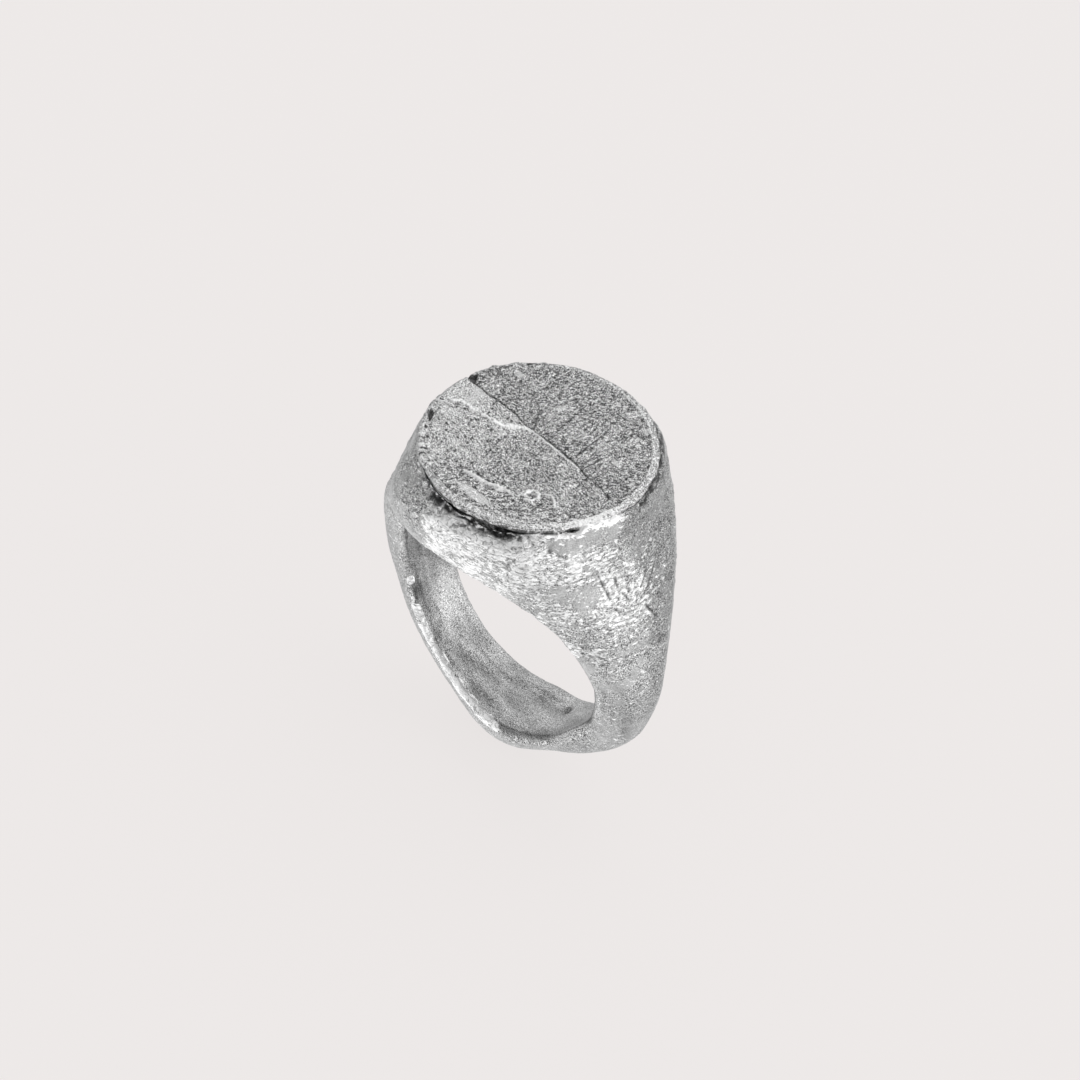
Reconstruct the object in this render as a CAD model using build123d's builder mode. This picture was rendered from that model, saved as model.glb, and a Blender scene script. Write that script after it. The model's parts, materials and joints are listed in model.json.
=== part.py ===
from build123d import *
import os
from math import atan, cos, pi, sin

# A hand-made signet ring in cast silver, in three soldered pieces:
#   ring_body    head, shoulders and shank, one casting that surrounds the finger hole
#   solder_seam  thin layer of hard solder on the head's seat, set back from the edge
#   face_plate   round plate that carries the impression of a leaf
# The origin is the centre of the finger hole. +Z points out of the face, the finger
# lies along Y, and the shoulders stand at +X and -X. All sizes are in millimetres.

# ---- driving dimensions ----
finger_diameter = 17.3
face_diameter = 14.6
face_height = 13.5  # hole centre to the top of the face
plate_thickness = 0.5
solder_thickness = 0.15

side_thickness = 2.65  # shank wall beside the finger, at z = 0
back_thickness = 2.2  # shank wall at the back of the finger
side_half_width = 2.95  # half extent along Y of the outline at z = 0
back_half_width = 2.65  # the same at the back, where the outline also rounds off
shank_power = 3.2  # superellipse power: 2 is an ellipse, higher is squarer
brow_half_width = 7.6  # widest half extent along Y, a little below the seat
brow_share = 0.875  # height of that widest place, as a share of the seat's height

seat_margin = 0.2  # the head's seat stands this far outside the plate
solder_inset = 0.35  # the solder stops this far inside the plate's edge
inner_edge_radius = 0.45
seat_edge_radius = 0.3

rim_width = 0.55  # plain border round the leaf
recess_depth = 0.12  # the leaf lies this far below the border
stalk_width = 0.9
midrib_width = 0.22
midrib_y = 0.5  # where the midrib crosses x = 0
vein_width = 0.14
vein_depth = 0.1
vein_pairs = 4
vein_spacing = 1.25
vein_angle = 58  # degrees from the midrib
notch_width = 1.5  # torn corners at the rim, one on each side of the stalk
notch_depth = 0.32
notch_angles = [170, 203]  # degrees round the rim

# ---- worked out from them ----
finger_radius = finger_diameter / 2
face_radius = face_diameter / 2
plate_underside = face_height - plate_thickness
seat_height = plate_underside - solder_thickness
seat_radius = face_radius + seat_margin
leaf_radius = face_radius - rim_width
leaf_floor = face_height - recess_depth

side_outer = finger_radius + side_thickness
back_outer = finger_radius + back_thickness
# Sections start inside the finger hole, which is bored out afterwards.
leg_inner = finger_radius - 0.6


def superellipse(half_x, half_y, power, angle):
    """Point of a superellipse at a polar angle of its unit square, in radians."""
    c, s = cos(angle), sin(angle)
    reach = (abs(c) ** power + abs(s) ** power) ** (-1 / power)
    return (half_x * c * reach, half_y * s * reach)


def superellipse_tangent(half_x, half_y, power, angle):
    """Direction of travel there, by a small central difference."""
    step = 1e-4
    x0, y0 = superellipse(half_x, half_y, power, angle - step)
    x1, y1 = superellipse(half_x, half_y, power, angle + step)
    return ((x1 - x0) / (2 * step), (y1 - y0) / (2 * step))


def split_angle(half_x, power):
    """Angle at which the outline passes x = leg_inner."""
    share = (leg_inner / half_x) ** power
    return atan(((1 - share) / share) ** (1 / power))


def outline_arc(half_x, half_y, power, start, end, spans=8):
    """One smooth stretch of a superellipse, drawn in the current BuildLine."""
    angles = [start + (end - start) * i / spans for i in range(spans + 1)]
    points = [superellipse(half_x, half_y, power, a) for a in angles]
    ends = [superellipse_tangent(half_x, half_y, power, a) for a in (start, end)]
    return Spline(*points, tangents=ends)


def head_outline(share):
    """Half extents and power of the head's outline, at a share of the seat's height."""
    narrowing = (1 + cos(pi * share)) / 2
    swelling = (1 - cos(pi * share / brow_share)) / 2
    half_x = seat_radius + (side_outer - seat_radius) * narrowing
    half_y = side_half_width + (brow_half_width - side_half_width) * swelling
    power = shank_power - (shank_power - 2) * share**3
    return half_x, half_y, power


def shank_outline(angle):
    """Half extents of the shank's outline, at an angle below the +X axis."""
    fall = sin(angle) ** 2  # 0 beside the finger, 1 at the back
    half_r = side_outer + (back_outer - side_outer) * fall
    half_y = side_half_width + (back_half_width - side_half_width) * fall
    return half_r, half_y


# ---- ring_body ----
# One quarter (+X, -Y) is lofted in two blocks that share their outer arc at z = 0. The
# second section of each block stands close to z = 0, so that the blocks meet smoothly.
head_shares = [0, 0.04, 0.2, 0.4, 0.6, 0.8, 1]
shank_angles = [0, -5, -22.5, -45, -67.5, -90]
side_split = split_angle(side_outer, shank_power)

with BuildPart() as head_quarter:
    for share in head_shares:
        half_x, half_y, power = head_outline(share)
        with BuildSketch(Plane.XY.offset(share * seat_height)):
            with BuildLine():
                outline_arc(half_x, half_y, power, -pi / 2, -side_split, 12)
                outline_arc(half_x, half_y, power, -side_split, 0)
                Polyline((half_x, 0), (0, 0), (0, -half_y))
            make_face()
    loft(clean=False)

with BuildPart() as shank_quarter:
    for angle in shank_angles:
        t = angle * pi / 180
        half_r, half_y = shank_outline(t)
        split = split_angle(half_r, shank_power)
        radial = Plane(origin=(0, 0, 0), x_dir=(cos(t), 0, sin(t)), z_dir=(-sin(t), 0, cos(t)))
        with BuildSketch(radial):
            with BuildLine():
                arc = outline_arc(half_r, half_y, shank_power, -split, 0)
                Polyline(arc @ 1, (leg_inner, 0), arc @ 0)
            make_face()
    loft(clean=False)

with BuildPart() as ring_body:
    add(head_quarter.part)
    add(shank_quarter.part)
    mirror(about=Plane.XZ)
    mirror(about=Plane.YZ)
    Cylinder(finger_radius, 4 * face_radius, rotation=(90, 0, 0), mode=Mode.SUBTRACT)
    bore_wall = ring_body.faces().filter_by(GeomType.CYLINDER)
    bore_rims = bore_wall.edges().filter_by(GeomType.LINE, reverse=True)
    fillet(bore_rims, inner_edge_radius)
    seat = ring_body.faces().sort_by(Axis.Z)[-1]
    fillet(seat.edges(), seat_edge_radius)
ring_body.part.label = "ring_body"

# ---- solder_seam ----
with BuildPart() as solder_seam:
    with BuildSketch(Plane.XY.offset(seat_height)):
        Circle(face_radius - solder_inset)
    extrude(amount=solder_thickness)
solder_seam.part.label = "solder_seam"

# ---- face_plate ----
# The leaf's midrib runs along X. Its stalk comes in over the rim from -X and joins it.
midrib = [(-leaf_radius, 1.5 * midrib_y), (0, midrib_y), (0.8 * leaf_radius, 0)]
fork = (-0.16 * face_radius, 0.9 * midrib_y)
stalk = [(-1.1 * face_radius, -2.3), (-0.62 * face_radius, -0.9), (-0.4 * face_radius, -0.6), fork]

with BuildPart() as face_plate:
    with BuildSketch(Plane.XY.offset(plate_underside)):
        Circle(face_radius)
    extrude(amount=plate_thickness)

    # recess with the stalk left standing
    with BuildSketch(Plane.XY.offset(face_height)):
        Circle(leaf_radius)
        with BuildLine():
            Spline(*stalk)
        trace(line_width=stalk_width, mode=Mode.SUBTRACT)
    extrude(amount=-recess_depth, mode=Mode.SUBTRACT)

    # veins, cut as grooves in the recess
    with BuildSketch(Plane.XY.offset(leaf_floor)):
        with BuildLine():
            Spline(*midrib)
        trace(line_width=midrib_width)
        for side in (1, -1):
            for i in range(vein_pairs):
                root = (-0.1 * face_radius + i * vein_spacing, midrib_y)
                reach = (0.62 - 0.07 * i) * leaf_radius  # shorter towards the leaf's tip
                with BuildLine():
                    PolarLine(root, reach, side * vein_angle)
                trace(line_width=vein_width)
    extrude(amount=-vein_depth, mode=Mode.SUBTRACT)

    # three-sided notches that point inwards
    with BuildSketch(Plane.XY.offset(face_height)):
        for angle in notch_angles:
            with PolarLocations(face_radius, 1, start_angle=angle):
                RegularPolygon(notch_width / 2, 3, rotation=180)
    extrude(amount=-notch_depth, mode=Mode.SUBTRACT)
face_plate.part.label = "face_plate"

os.makedirs("parts", exist_ok=True)
for piece in (ring_body, solder_seam, face_plate):
    export_step(piece.part, f"parts/{piece.part.label}.step")
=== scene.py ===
import json
import math

import bmesh
import bpy
import numpy as np
from mathutils import Matrix, Vector


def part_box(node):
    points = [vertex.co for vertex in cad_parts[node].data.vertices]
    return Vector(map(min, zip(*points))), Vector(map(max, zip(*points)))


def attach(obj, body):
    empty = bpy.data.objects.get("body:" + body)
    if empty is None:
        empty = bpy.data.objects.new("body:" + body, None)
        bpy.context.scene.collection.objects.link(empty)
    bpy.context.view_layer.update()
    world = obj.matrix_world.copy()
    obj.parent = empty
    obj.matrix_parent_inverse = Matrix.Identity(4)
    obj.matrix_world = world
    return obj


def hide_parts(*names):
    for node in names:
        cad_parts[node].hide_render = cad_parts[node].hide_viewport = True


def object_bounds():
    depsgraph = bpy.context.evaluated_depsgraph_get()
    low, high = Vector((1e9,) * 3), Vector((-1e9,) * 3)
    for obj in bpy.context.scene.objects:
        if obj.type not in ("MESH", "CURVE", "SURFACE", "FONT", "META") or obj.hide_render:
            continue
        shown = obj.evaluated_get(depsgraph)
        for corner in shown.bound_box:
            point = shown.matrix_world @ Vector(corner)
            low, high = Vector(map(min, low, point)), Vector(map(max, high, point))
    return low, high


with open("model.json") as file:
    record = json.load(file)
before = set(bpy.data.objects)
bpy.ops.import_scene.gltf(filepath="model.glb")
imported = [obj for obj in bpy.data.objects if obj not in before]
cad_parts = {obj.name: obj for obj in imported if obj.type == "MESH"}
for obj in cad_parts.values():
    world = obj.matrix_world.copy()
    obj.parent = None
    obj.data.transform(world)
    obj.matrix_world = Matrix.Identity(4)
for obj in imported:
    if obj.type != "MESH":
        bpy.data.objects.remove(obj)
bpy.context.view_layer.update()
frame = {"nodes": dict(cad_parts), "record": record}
scene = bpy.context.scene

# A rough-cast silver signet ring. Shapes are worked out in millimetres in the frame's own
# axes: the finger lies along Y, +Z points out of the face. Each piece is a dense closed mesh
# whose relief is real geometry, and carries four values per point for its material:
#    tone    how light the plain skin of the metal is; lower as painted shade on the shoulder's far side, the shank's near face and inside the hole
#    frost  1 where nearly all of it is white, 0 where only flecks are: frosted metal, and painted
#    highlights
#    hollow  1 in pits and crevices, which are painted dark as shade, and in other places of painted shade
#   gloss   1 where it is worn smooth, with no fine grain
MM = 0.001

# ---- sizes from the frame, in millimetres ----
plate_low, plate_high = (np.array(corner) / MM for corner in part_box("face_plate"))
seam_low, seam_high = (np.array(corner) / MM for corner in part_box("solder_seam"))
ring_low, ring_high = (np.array(corner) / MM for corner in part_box("ring_body"))
mounts = {mount["name"]: mount for mount in frame["record"]["mounts"]}
BORE_R = mounts["finger_bore"]["dims"]["r_mm"]
FACE_R = (plate_high[0] - plate_low[0]) / 2
FACE_Z = plate_high[2]
SEAT_Z = ring_high[2]
BACK_Z = ring_low[2]


# ---- maths on arrays of points ----
def smooth(value, low, high):
    """0 below low, 1 above high, and an S-curve between; low may be above high."""
    t = np.clip((value - low) / (high - low), 0, 1)
    return t * t * (3 - 2 * t)


def bell(distance, width):
    """1 at distance 0, falling to 0 over about twice the width."""
    return np.exp(-((distance / width) ** 2))


def length(vectors):
    return np.linalg.norm(vectors, axis=1)


def angle_from(angle, middle):
    """Signed difference between angles in degrees."""
    return (angle - middle + 180) % 360 - 180


def sector(angle, middle, spread):
    """A bell over angles in degrees."""
    return bell(angle_from(angle, middle), spread)


def hash_cells(cells, seed):
    """A well-mixed 32-bit number for each integer cell."""
    n = cells[:, 0] * 73856093 ^ cells[:, 1] * 19349663 ^ cells[:, 2] * 83492791 ^ (seed * 7919 + 17)
    n &= 0xFFFFFFFF
    for _ in range(2):
        n = (n ^ n >> 16) * 0x45D9F3B & 0xFFFFFFFF
    return n ^ n >> 16


def directions(count):
    """Unit vectors spread evenly over a sphere."""
    k = np.arange(count) + 0.5
    z = 1 - 2 * k / count
    turn = k * math.pi * (1 + 5**0.5)
    ring = np.sqrt(1 - z * z)
    return np.stack([ring * np.cos(turn), ring * np.sin(turn), z], 1)


GRADIENTS = directions(256)
CORNERS = [np.array([i, j, k]) for i in (0, 1) for j in (0, 1) for k in (0, 1)]


def noise(points, size, seed=0):
    """Gradient noise, about -1 to 1, with features of the given size in mm."""
    p = points / size
    base = np.floor(p).astype(np.int64)
    part = p - base
    fade = part**3 * (part * (part * 6 - 15) + 10)
    total = np.zeros(len(p))
    for corner in CORNERS:
        gradient = GRADIENTS[hash_cells(base + corner, seed) & 255]
        weight = np.prod(np.where(corner, fade, 1 - fade), axis=1)
        total += weight * ((part - corner) * gradient).sum(1)
    return total * 1.7


def fractal(points, size, octaves, seed=0, gain=0.5):
    """Sum of noises, each half the size of the last."""
    return sum(noise(points, size / 2**i, seed + i) * gain**i for i in range(octaves))


def scatter(points, size, seed=0):
    """Distance to the nearest of points scattered one to a cell, and its own random share."""
    p = points / size
    base = np.floor(p).astype(np.int64)
    near = np.full(len(p), 9.0)
    share = np.zeros(len(p))
    for step in np.ndindex(3, 3, 3):
        cell = base + np.array(step) - 1
        code = hash_cells(cell, seed)
        jitter = np.stack([code & 1023, code >> 10 & 1023, code >> 20 & 1023], 1) / 1023
        distance = np.sqrt(((cell + jitter - p) ** 2).sum(1))
        closer = distance < near
        share = np.where(closer, (code >> 5 & 255) / 255, share)
        near = np.where(closer, distance, near)
    return near, share


def from_line(points, line):
    """Offset from the nearest place on a polyline, and how far along it that is, from 0 to 1."""
    line = np.array(line, float)
    best = np.full(len(points), 1e9)
    offset = np.zeros_like(points)
    along = np.zeros(len(points))
    lengths = length(np.diff(line, axis=0))
    starts = np.concatenate([[0], np.cumsum(lengths)])
    for start, end, span, before in zip(line[:-1], line[1:], lengths, starts):
        part = np.clip(((points - start) @ (end - start)) / span**2, 0, 1)
        off = points - start - part[:, None] * (end - start)
        distance = length(off)
        closer = distance < best
        best = np.where(closer, distance, best)
        offset[closer] = off[closer]
        along = np.where(closer, (before + part * span) / starts[-1], along)
    return offset, along


def line_distance(points, line):
    return length(from_line(points, line)[0])


def over_surface(offset, normal):
    """Length of an offset with its part along the normal left out."""
    return length(offset - (offset * normal).sum(1)[:, None] * normal)


def spots(points, places):
    """The strongest of soft round spots, each given as centre, radius and weight."""
    total = np.zeros(len(points))
    for centre, radius, weight in places:
        distance = length(points - centre)
        total = np.maximum(total, weight * bell(distance, radius))
    return total


# ---- meshes ----
def add_object(name, data):
    obj = bpy.data.objects.new(name, data)
    scene.collection.objects.link(obj)
    return obj


def make_mesh(name, points, faces, fields):
    """A smooth-shaded object from points in mm, with its per-point values as attributes."""
    mesh = bpy.data.meshes.new(name)
    mesh.from_pydata((points * MM).tolist(), [], faces)
    mesh.shade_smooth()
    for field, values in fields.items():
        attribute = mesh.attributes.new(field, "FLOAT", "POINT")
        attribute.data.foreach_set("value", values.astype(np.float32))
    return add_object(name, mesh)


def dense_copy(node, voxel):
    """Closed, evenly meshed copy of a CAD node: points in mm, and faces of four corners."""
    bm = bmesh.new()
    bm.from_mesh(frame["nodes"][node].data)
    bmesh.ops.scale(bm, vec=(1 / MM,) * 3, verts=bm.verts)
    bmesh.ops.remove_doubles(bm, verts=bm.verts, dist=1e-4)
    mesh = bpy.data.meshes.new("dense")
    bm.to_mesh(mesh)
    bm.free()
    obj = add_object("dense", mesh)
    remesh = obj.modifiers.new("remesh", "REMESH")
    remesh.mode = "VOXEL"
    remesh.voxel_size = voxel
    dense = obj.evaluated_get(bpy.context.evaluated_depsgraph_get()).to_mesh()
    points = np.empty(len(dense.vertices) * 3)
    dense.vertices.foreach_get("co", points)
    corners = np.empty(len(dense.loops), np.int64)
    dense.loops.foreach_get("vertex_index", corners)
    bpy.data.objects.remove(obj)
    return points.reshape(-1, 3), corners.reshape(-1, 4)


def relax(points, quads, rounds):
    """Moves each point towards the middle of its neighbours, which takes out voxel steps."""
    a = quads.ravel()
    b = np.roll(quads, -1, axis=1).ravel()
    count = np.bincount(a, minlength=len(points)) + np.bincount(b, minlength=len(points))
    for _ in range(rounds):
        total = np.zeros_like(points)
        for i in range(3):
            total[:, i] = np.bincount(a, points[b, i], len(points))
            total[:, i] += np.bincount(b, points[a, i], len(points))
        points = points + 0.5 * (total / count[:, None] - points)
    return points


def normals_of(points, quads):
    """Normals at the points, averaged over their faces by area."""
    across = points[quads[:, 2]] - points[quads[:, 0]]
    along = points[quads[:, 3]] - points[quads[:, 1]]
    face = np.cross(across, along)
    total = np.zeros_like(points)
    for i in range(4):
        for k in range(3):
            total[:, k] += np.bincount(quads[:, i], face[:, k], len(points))
    return total / np.linalg.norm(total, axis=1, keepdims=True)


def refine(points, normals, quads, chosen):
    """Splits the chosen faces in four. Their neighbours take in the new points on shared sides."""
    count = len(points)
    after = np.roll(quads, -1, axis=1)
    sides = np.minimum(quads, after) * count + np.maximum(quads, after)
    split, middles = np.unique(sides[chosen], return_inverse=True)
    corners = quads[chosen]
    centres = count + len(split) + np.arange(len(corners))

    def with_new(values):
        halves = (values[split // count] + values[split % count]) / 2
        return np.vstack([values, halves, values[corners].mean(1)])

    middles = count + middles.reshape(-1, 4)
    faces = []
    for i in range(4):
        faces += np.stack([corners[:, i], middles[:, i], centres, middles[:, i - 1]], 1).tolist()
    rest, rest_sides = quads[~chosen], sides[~chosen]
    found = np.minimum(np.searchsorted(split, rest_sides), len(split) - 1)
    shared = split[found] == rest_sides
    plain = ~shared.any(1)
    faces += rest[plain].tolist()
    for face, which, has_middle in zip(rest[~plain], found[~plain], shared[~plain]):
        outline = []
        for corner, side, more in zip(face, which, has_middle):
            outline.append(int(corner))
            if more:
                outline.append(int(count + side))
        faces.append(outline)
    normals = with_new(normals)
    return with_new(points), normals / np.linalg.norm(normals, axis=1, keepdims=True), faces


# ---- ring_body ----
NEAR_SIDE = np.array([0.47, -0.52, 0.72])  # the head's front and the near shoulder face this way
BODY_VOXEL = 0.162
RELAX_ROUNDS = 5
LEAN = np.array([-0.43, -0.49, 0])  # how far the back of the shank stands aside from the head
# Folds in the wax that meet at a pinched place on the near shoulder, and a crescent-shaped dent.
FOLDS = [
    [(7.8, -2.6, 10.0), (8.1, -2.3, 9.2), (8.6, -1.8, 8.0), (9.0, -1.5, 7.0), (9.3, -1.3, 6.4)],
    [(8.2, -1.4, 9.3), (8.5, -1.3, 8.6), (8.8, -0.9, 7.7), (9.0, -0.7, 7.1)],
    [(8.4, -0.5, 8.6), (8.8, -0.6, 7.6)],
    [(8.3, 2.1, 8.9), (8.6, 1.4, 8.1), (8.9, 0.8, 7.4), (9.1, 0.2, 7.0)],
    [(8.5, 0.9, 8.5), (8.8, 0.3, 7.6)],
    [(9.2, 0.1, 6.6), (9.6, 0.6, 5.7), (9.8, 0.9, 5.1)],
    [(9.2, -3.0, 4.7), (9.6, -2.7, 4.35), (9.9, -2.3, 4.25)],
]
PINCH = np.array([9.2, -0.7, 6.6])
SHOULDER_EDGE = [(7.5, -0.8, 11.6), (8.3, 0.5, 8.6), (9.0, 0.4, 7.2), (10.0, 0.0, 4.9)]
SHOULDER_EDGE += [(10.7, -0.3, 3.2)]
PITS = [  # place, radius, depth
    ((10.5, 1.1, 3.5), 0.21, 0.3),
    ((7.6, 2.9, 9.9), 0.2, 0.22),
    ((0.5, -7.4, 9.6), 0.14, 0.22),
    ((4.0, 0.64, -7.7), 0.2, 0.32),
    ((5.0, -5.6, 12.2), 0.12, 0.14),
    ((5.7, -5.0, 12.0), 0.12, 0.12),
    ((6.1, -4.7, 11.7), 0.11, 0.14),
    ((4.3, -6.7, 10.9), 0.13, 0.14),
    ((7.35, 1.2, 12.7), 0.2, 0.3),
]
WHITE = [  # place, radius, share of white: frosted metal and painted highlight
    ((0.5, -7.3, 10.6), 3.4, 1.25),
    ((-2.4, -7.0, 11.0), 1.8, 0.8),
    ((4.3, -6.4, 10.9), 2.6, 1.2),
    ((1.5, -7.2, 11.8), 2.8, 1.2),
    ((3.8, -6.9, 8.8), 2.0, 0.6),
    ((6.9, -3.9, 10.9), 1.3, 1.0),
    ((7.5, -1.6, 11.3), 0.8, 0.8),
    ((9.4, -0.9, 6.1), 1.1, 1.0),
    ((8.4, -1.5, 8.4), 1.5, 0.85),
    ((9.6, -2.8, 4.4), 0.7, 0.6),
    ((8.1, -3.6, 4.3), 0.9, 0.55),
    ((6.8, -4.8, 7.6), 2.2, 0.5),
    ((9.3, -1.4, 5.0), 1.0, 0.5),
    ((7.2, -2.8, 10.2), 1.5, 0.9),
]
TORN = [  # place, radius, share: dark hollows in the crevice under the plate, painted shade
    ((-1.2, -7.1, 12.4), 0.95, 1.1),
    ((1.1, -7.2, 12.35), 0.6, 0.95),
    ((2.2, -6.95, 12.4), 0.45, 0.75),
    ((3.3, -6.5, 12.4), 0.75, 1.05),
]
WORN = [  # place, radius, share worn smooth
    ((6.9, -2.9, 12.4), 1.3, 1.0),
    ((5.9, -4.3, 12.3), 0.8, 0.8),
    ((8.0, -3.5, 8.7), 0.8, 0.9),
    ((7.1, -4.9, 9.2), 0.6, 0.9),
    ((-6.6, -4.6, 8.5), 3.4, 0.75),
    ((9.6, -2.6, 1.5), 2.4, 0.55),
    ((8.6, -2.6, -3.5), 2.6, 0.5),
]
BORE_DARK = [  # place, radius, share: darker patches inside the hole; the two at its far edge are painted shade
    ((-7.7, -1.7, -4.0), 0.8, 1),
    ((-7.0, -1.6, -5.2), 0.6, 0.5),
    ((-7.8, 1.9, -3.7), 0.5, 0.8),
    ((-7.4, 2.1, -4.6), 0.5, 0.9),
]
FIRST_BEAD = [((-8.1, -2.2, -3.35), 0.36, 1.3)]  # the topmost bead on the hole's near edge

# Where the carved wax is fuller or leaner than the clean solid, as
# (degrees from +X towards +Z, spread in degrees, height in mm).
WIDER_NEAR = [(14, 30, 0.78), (102, 26, 0.62), (195, 24, -0.5), (277, 27, 1.15), (330, 13, -0.75)]
WIDER_FAR = [(32, 24, 0.6), (92, 17, 0.52), (282, 32, 0.48), (330, 12, -0.25)]
THICKER_OUTSIDE = [(15, 24, -0.28), (76, 22, 0.38), (165, 24, 0.38), (268, 18, 0.48)]
THICKER_OUTSIDE += [(302, 15, -0.46), (334, 10, 0.16)]
THICKER_INSIDE = [(0, 14, -0.24), (83, 24, 0.3), (270, 14, 0.15)]


def hand_shape(p):
    """Leans and lumps of the hand-carved wax, as sideways moves of the clean solid."""
    drop = np.clip((FACE_Z - p[:, 2]) / (FACE_Z - BACK_Z), 0, 1)
    q = p + drop[:, None] * LEAN
    turn = np.degrees(np.arctan2(p[:, 2], p[:, 0]))
    radial = np.stack([p[:, 0], 0 * p[:, 0], p[:, 2]], 1)
    radius = length(radial)
    radial /= radius[:, None]
    outer = smooth(radius, BORE_R + 0.3, BORE_R + 1.6)
    below_seat = smooth(p[:, 2], SEAT_Z - 0.1, SEAT_Z - 1.3)

    def lumps(places):
        total = sum(size * sector(turn, at, spread) for at, spread, size in places)
        return below_seat * total

    q[:, 1] -= lumps(WIDER_NEAR) * np.clip(-p[:, 1] / 2.2, 0, 1)
    q[:, 1] += lumps(WIDER_FAR) * np.clip(p[:, 1] / 2.2, 0, 1)
    q += (lumps(THICKER_OUTSIDE) * outer - lumps(THICKER_INSIDE) * (1 - outer))[:, None] * radial
    # A lump on the far edge of the hole, low on the right.
    lump = 0.35 * sector(turn, 283, 11) * smooth(p[:, 1], 0.6, 2.2) * (1 - outer)
    q -= lump[:, None] * radial
    wave = np.stack([noise(p, 7.0, seed) for seed in (11, 12, 13)], 1)
    return q + 0.12 * wave


class CastSkin:
    """The casting's relief and its material's values. The functions below build them up."""

    def __init__(self, points, normals):
        x, y, z = points.T
        self.p, self.normal, self.x, self.y, self.z = points, normals, x, y, z
        self.phi = np.degrees(np.arctan2(y, x))  # angle round the plate
        self.turn = np.degrees(np.arctan2(z, x))  # angle round the finger
        self.rim = np.hypot(x, y)
        self.radius = np.hypot(x, z)
        inward = -(x * normals[:, 0] + z * normals[:, 2]) / np.maximum(self.radius, 1e-6)
        self.bore = smooth(self.radius, BORE_R + 0.4, BORE_R + 0.1) * smooth(inward, 0.35, 0.8)
        self.near_side = smooth(-normals[:, 1], -0.1, 0.45)
        self.keen = smooth(normals @ NEAR_SIDE, 0.2, 0.45) * smooth(z, 2.8, 3.8)
        self.shoulder = smooth(x, 5.5, 7.0)
        # the shoulder's far side, beyond the soft edge down its middle, which is painted darker as shade
        edge_y = np.interp(-z, *np.array([(-place[2], place[1]) for place in SHOULDER_EDGE]).T)
        self.beyond = smooth(y - edge_y, -0.1, 0.4) * smooth(x, 3.0, 6.0)
        self.wander = points + 0.5 * np.stack([noise(points, 1.4, seed) for seed in (14, 15, 16)], 1)
        self.height = np.zeros(len(points))
        self.hollow = np.zeros(len(points))
        self.move = np.zeros_like(points)


def frost_and_wear(skin):
    """How much of the metal is white, as frosted metal and painted highlights, and how much is worn
    smooth.
    """
    frost = 0.2 - 0.12 * smooth(skin.z, 3.0, 0.0)
    # Painted highlights on frosted metal, stronger on faces towards the near side.
    frost += spots(skin.wander, WHITE) * (0.35 + 0.65 * skin.near_side)
    frost += 0.16 * fractal(skin.p, 1.5, 2, 21)
    patches = smooth(fractal(skin.p, 1.3, 3, 22), 0.2, 0.32)
    skin.worn = np.clip(1.5 * spots(skin.wander, WORN) + 0.9 * patches - 0.35, 0, 1)
    left = smooth(-skin.x - 0.5 * noise(skin.p, 1.0, 23), 1.1, 2.3) * smooth(skin.z, 1.0, 4.0)
    # Less white on the shoulder's far side, as painted shade, and less on the upper left.
    frost = (frost - 0.15 * skin.beyond) * (1 - skin.worn) * (1 - 0.75 * left)
    skin.frost = frost * (1 - skin.bore)
    skin.grit = (1 - 0.85 * skin.worn) * (1 - 0.6 * skin.bore)


def wrinkle(skin):
    """Waves, wrinkles and grain of the casting, with sharp creases on the near side."""
    skin.height += 0.045 * fractal(skin.p, 2.6, 2, 31) * (1 - 0.4 * skin.bore)
    bend = 0.3 * noise(skin.p, 1.1, 5)[:, None]
    wrinkles = fractal(skin.p * [1.0, 1.0, 2.0] + bend, 0.95, 3, 41, 0.62)
    skin.height += 0.05 * wrinkles * skin.grit * (0.35 + 0.75 * smooth(skin.z, 1, 7))
    grain = noise(skin.p, 0.38, 51) + 0.7 * noise(skin.p, 0.3, 52)
    skin.height += 0.013 * grain * skin.grit
    creases = noise(skin.p * [0.6, 0.6, 1.9] + 0.5 * bend, 0.32, 53)
    sharp = skin.keen * skin.grit
    skin.height += sharp * (0.014 * noise(skin.p, 0.17, 54) - 0.05 * bell(creases, 0.13))
    # Painted shade in the sharp creases and in the troughs of the wrinkles.
    skin.hollow += 0.4 * sharp * bell(creases, 0.11)
    skin.hollow += 0.3 * smooth(-wrinkles, 0.35, 0.9) * skin.grit * (1 - skin.bore)


def pinch_shoulder(skin):
    """A swelling where the folds meet, with frosted rays that fan upwards."""
    off = skin.p - PINCH
    reach = length(off)
    angle = np.arctan2(off[:, 1], off[:, 2])
    rays = fractal(np.stack([5 * np.cos(angle), 5 * np.sin(angle), 0.9 * reach], 1), 1.0, 2, 61)
    upward = smooth(off[:, 2], -0.8, 0.8) * bell(reach, 2.8) * skin.shoulder
    skin.height += 0.1 * rays * upward + 0.12 * bell(reach - 0.2, 0.8) * skin.shoulder
    skin.frost += (0.25 + 0.7 * rays) * upward * (1 - 0.6 * skin.worn)


def dig_pits(skin):
    """A few large pits at known places, and many small ones."""
    pits = 0 * skin.x
    for place, size, depth in PITS:
        off = skin.p - place
        close = smooth(length(off), 1.5, 1.0)
        pits += depth * close * bell(over_surface(off, skin.normal), size * 1.2)
    near, share = scatter(skin.p, 1.1, 81)
    pits += 0.1 * smooth(near, 0.2, 0.06) * smooth(share, 0.5, 0.8) * skin.grit
    skin.height -= pits
    # The pits are painted dark, as painted shade.
    skin.hollow += 2.4 * pits


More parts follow.
